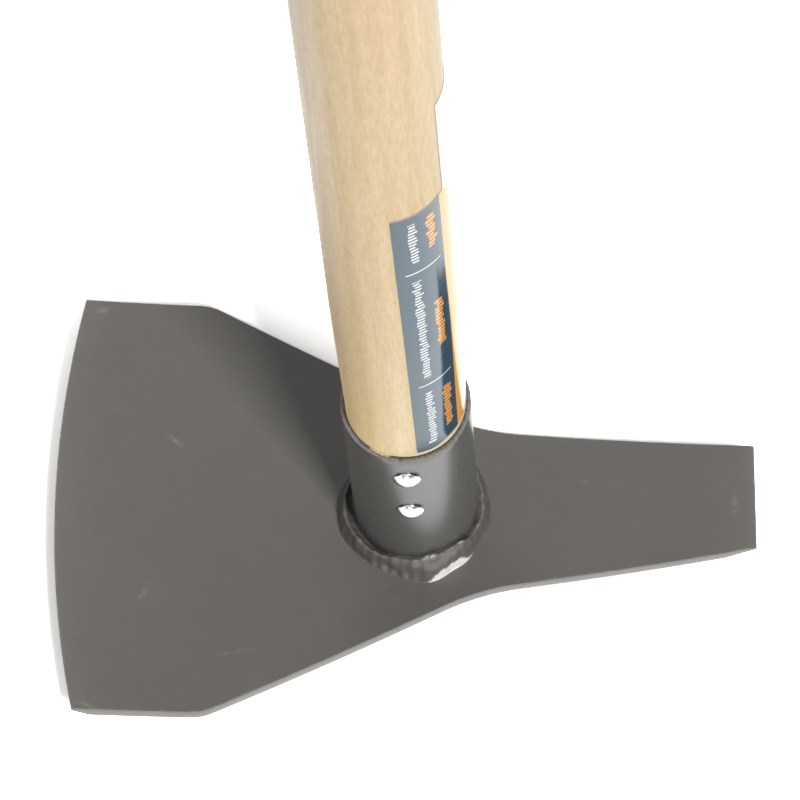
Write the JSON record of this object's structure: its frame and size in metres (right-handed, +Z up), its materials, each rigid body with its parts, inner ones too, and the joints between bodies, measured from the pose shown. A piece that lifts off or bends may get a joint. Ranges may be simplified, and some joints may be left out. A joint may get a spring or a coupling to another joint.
{
  "type": "pick hoe",
  "caption": "Hand hoe with a dished steel head, wide hoe blade one way and narrow pick blade the other, a welded socket tube and a long riveted wooden handle.",
  "frame": {"origin": "on the handle's axis, at the small flat under the head on which the hoe stands", "axes": "+Z up the handle from the head, +X towards the pick blade with the hoe blade at -X, +Y across the blades"},
  "size_m": [0.2384, 0.1518, 1.3809],
  "materials": {
    "head_paint": "satin grey-brown paint on dished steel, slightly mottled",
    "tube_paint": "satin grey paint on drawn tube",
    "weld_paint": "glossier paint over a hand-laid weld",
    "handle_wood": "clear-coated pale hardwood with fine straight grain",
    "zinc": "bright zinc",
    "label_print": "glossy printed sleeve in navy, orange and white"
  },
  "bodies": {
    "root": {"head_plate": "head_paint", "socket_tube": "tube_paint", "weld_bead": "weld_paint", "handle": "handle_wood", "upper_rivet": "zinc", "lower_rivet": "zinc", "label": "label_print"}
  },
  "joints": []
}
